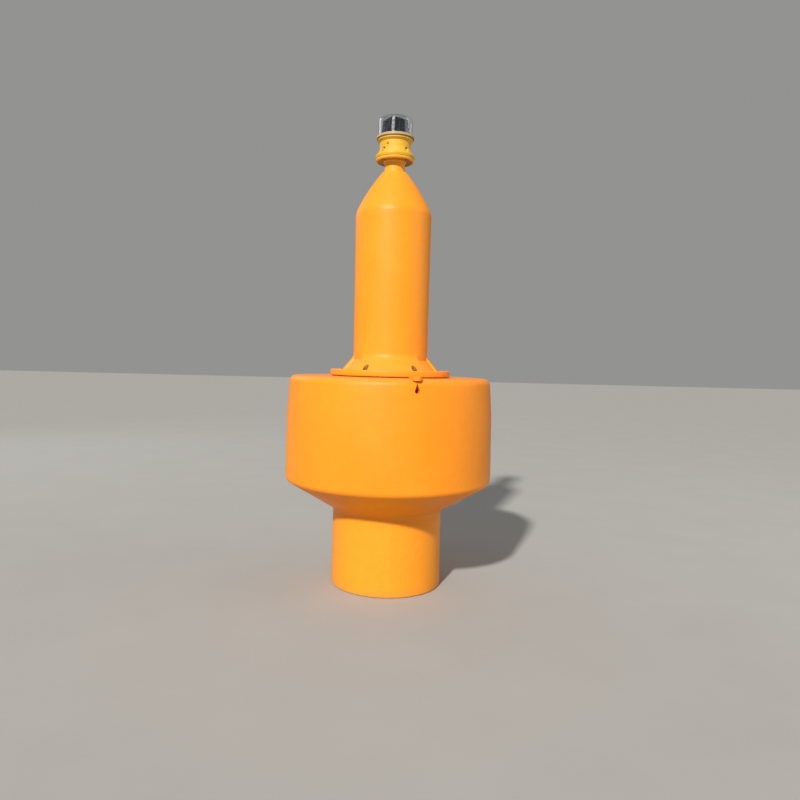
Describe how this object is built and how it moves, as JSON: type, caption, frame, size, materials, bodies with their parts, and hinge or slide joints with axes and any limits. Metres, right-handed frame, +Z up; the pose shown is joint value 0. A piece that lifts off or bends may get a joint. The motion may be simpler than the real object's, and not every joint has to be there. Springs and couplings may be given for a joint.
{
  "type": "navigation buoy",
  "caption": "Moulded navigation buoy: a drum float on a skirt, a bolted tube tower and a solar lantern, with lifting eyes and a swinging mooring shackle.",
  "frame": {"origin": "centre of the skirt's underside, on the floor that the buoy stands on", "axes": "+Z up along the buoy's axis, -Y towards the side that the picture shows"},
  "size_m": [0.8, 0.7998, 1.83],
  "materials": {
    "float_plastic": "satin",
    "tower_plastic": "satin",
    "lantern_plastic": "gloss",
    "pale_plastic": "gloss",
    "white_plastic": "gloss",
    "clear_plastic": "gloss",
    "lamp": "gloss",
    "solar_cells": "gloss",
    "black_rubber": "matte",
    "stainless": "brushed",
    "galvanised": "matte"
  },
  "bodies": {
    "buoy": {"float_hull": "float_plastic", "float_skirt": "float_plastic", "fill_plug": "black_rubber", "ballast_plate": "galvanised", "ballast_bolts": "stainless", "mooring_eye": "galvanised", "foot_seal": "black_rubber", "tower": "tower_plastic", "foot_washers": "stainless", "foot_bolts": "stainless", "lantern_seal": "black_rubber", "lantern_base": "lantern_plastic", "lantern_bolts": "stainless", "lantern_nuts": "stainless", "port_cap": "black_rubber", "cover_seal": "black_rubber", "cover": "clear_plastic", "clamp_ring": "pale_plastic", "clamp_screws": "stainless", "led_board": "white_plastic", "leds": "lamp", "solar_frame": "white_plastic", "solar_panel_1": "solar_cells", "solar_panel_2": "solar_cells", "solar_panel_3": "solar_cells", "solar_panel_4": "solar_cells"},
    "shackle": {"shackle_bow": "galvanised", "shackle_pin": "galvanised"}
  },
  "joints": [
    {"name": "shackle_swing", "type": "hinge", "parent": "buoy", "child": "shackle", "pos_m": [0, 0, 0.082], "axis": [1, 0, 0], "range_deg": [-85, 85]}
  ]
}
